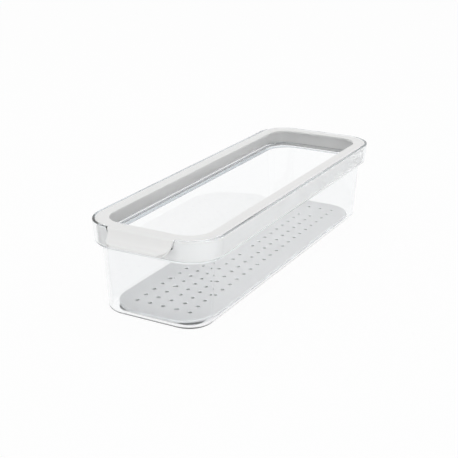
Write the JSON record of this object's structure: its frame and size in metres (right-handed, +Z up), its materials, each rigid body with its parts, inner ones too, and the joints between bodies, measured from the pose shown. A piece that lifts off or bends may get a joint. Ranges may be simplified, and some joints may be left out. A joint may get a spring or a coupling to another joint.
{
  "type": "fridge organizer bin",
  "caption": "Long clear open-topped fridge bin with a lift-out white rim frame and pull tab, and a perforated drain tray on its floor.",
  "frame": {"origin": "middle of the bin's base, on the ground", "axes": "+X across the bin, +Y along the bin away from the pull tab, +Z up"},
  "size_m": [0.1314, 0.3967, 0.0874],
  "materials": {
    "clear_plastic": "clear, polished",
    "white_plastic": "fine satin",
    "grey_plastic": "fine satin"
  },
  "bodies": {
    "bin": {"clear_bin": "clear_plastic"},
    "frame": {"rim_frame": "white_plastic"},
    "tray": {"drain_tray": "grey_plastic"}
  },
  "joints": [
    {"name": "frame_lift", "type": "slide", "parent": "bin", "child": "frame", "axis": [0, 0, 1], "range_m": [0, 0.03]},
    {"name": "tray_lift", "type": "slide", "parent": "bin", "child": "tray", "axis": [0, 0, 1], "range_m": [0, 0.13]}
  ]
}
